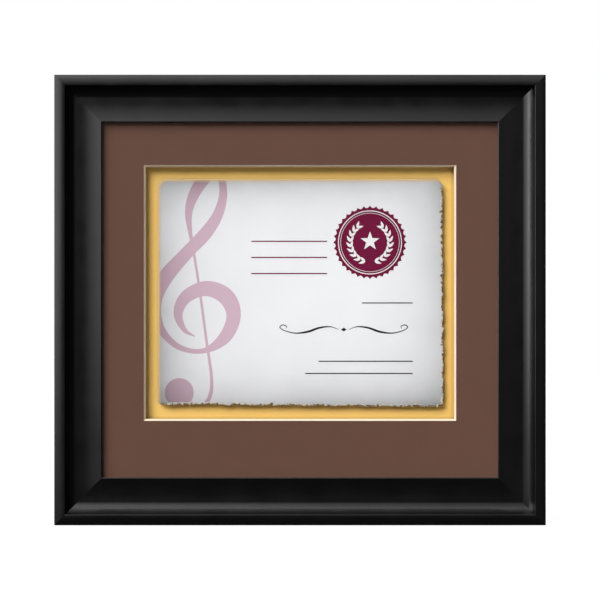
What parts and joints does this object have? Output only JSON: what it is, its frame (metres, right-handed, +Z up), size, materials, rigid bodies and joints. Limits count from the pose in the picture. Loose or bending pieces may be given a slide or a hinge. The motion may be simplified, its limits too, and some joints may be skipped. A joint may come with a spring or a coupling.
{
  "type": "certificate frame",
  "caption": "Landscape wall frame of black mitred moulding, glazed, with a brown window mat over a gold mat, a floated certificate, turn buttons and D-ring hangers.",
  "frame": {"origin": "middle of the frame's width and height, on the wall plane that the bumpers touch", "axes": "+X to the right as seen from the front, +Y back into the wall, +Z up"},
  "size_m": [0.4402, 0.0332, 0.4034],
  "materials": {
    "lacquered_wood": "satin",
    "glass": "gloss",
    "brown_matboard": "matte",
    "foam_board": "matte",
    "gold_matboard": "matte",
    "certificate_paper": "matte",
    "hardboard": "matte",
    "zinc_plated_steel": "satin",
    "nickel_plated_steel": "polished",
    "bumper_rubber": "matte"
  },
  "bodies": {
    "frame": {"top_rail": "lacquered_wood", "bottom_rail": "lacquered_wood", "left_rail": "lacquered_wood", "right_rail": "lacquered_wood", "glazing": "glass", "window_mat": "brown_matboard", "top_mat_spacer": "foam_board", "bottom_mat_spacer": "foam_board", "left_mat_spacer": "foam_board", "right_mat_spacer": "foam_board", "float_pad": "foam_board", "backing_mat": "gold_matboard", "certificate": "certificate_paper", "backing_board": "hardboard", "corner_v_nails": "zinc_plated_steel", "turn_button_screws": "zinc_plated_steel", "hanger_screws": "zinc_plated_steel", "left_hanger_strap": "zinc_plated_steel", "right_hanger_strap": "zinc_plated_steel", "wall_bumpers": "bumper_rubber"},
    "top_left_turn_button": {"top_left_turn_button": "zinc_plated_steel"},
    "top_right_turn_button": {"top_right_turn_button": "zinc_plated_steel"},
    "bottom_left_turn_button": {"bottom_left_turn_button": "zinc_plated_steel"},
    "bottom_right_turn_button": {"bottom_right_turn_button": "zinc_plated_steel"},
    "left_turn_button": {"left_turn_button": "zinc_plated_steel"},
    "right_turn_button": {"right_turn_button": "zinc_plated_steel"},
    "left_hanger_ring": {"left_hanger_ring": "nickel_plated_steel"},
    "right_hanger_ring": {"right_hanger_ring": "nickel_plated_steel"}
  },
  "joints": [
    {"name": "top_left_turn_button_turn", "type": "hinge", "parent": "frame", "child": "top_left_turn_button", "pos_m": [-0.095, -0.005, 0.1758], "axis": [0, 1, 0], "continuous": true},
    {"name": "top_right_turn_button_turn", "type": "hinge", "parent": "frame", "child": "top_right_turn_button", "pos_m": [0.095, -0.005, 0.1758], "axis": [0, 1, 0], "continuous": true},
    {"name": "bottom_left_turn_button_turn", "type": "hinge", "parent": "frame", "child": "bottom_left_turn_button", "pos_m": [-0.095, -0.005, -0.1758], "axis": [0, 1, 0], "continuous": true},
    {"name": "bottom_right_turn_button_turn", "type": "hinge", "parent": "frame", "child": "bottom_right_turn_button", "pos_m": [0.095, -0.005, -0.1758], "axis": [0, 1, 0], "continuous": true},
    {"name": "left_turn_button_turn", "type": "hinge", "parent": "frame", "child": "left_turn_button", "pos_m": [-0.19415, -0.005, 0], "axis": [0, 1, 0], "continuous": true},
    {"name": "right_turn_button_turn", "type": "hinge", "parent": "frame", "child": "right_turn_button", "pos_m": [0.19415, -0.005, 0], "axis": [0, 1, 0], "continuous": true},
    {"name": "left_hanger_ring_swing", "type": "hinge", "parent": "frame", "child": "left_hanger_ring", "pos_m": [-0.20212, -0.00295, 0.10175], "axis": [1, 0, 0], "range_deg": [0, 177]},
    {"name": "right_hanger_ring_swing", "type": "hinge", "parent": "frame", "child": "right_hanger_ring", "pos_m": [0.20212, -0.00295, 0.10175], "axis": [1, 0, 0], "range_deg": [0, 177]}
  ]
}
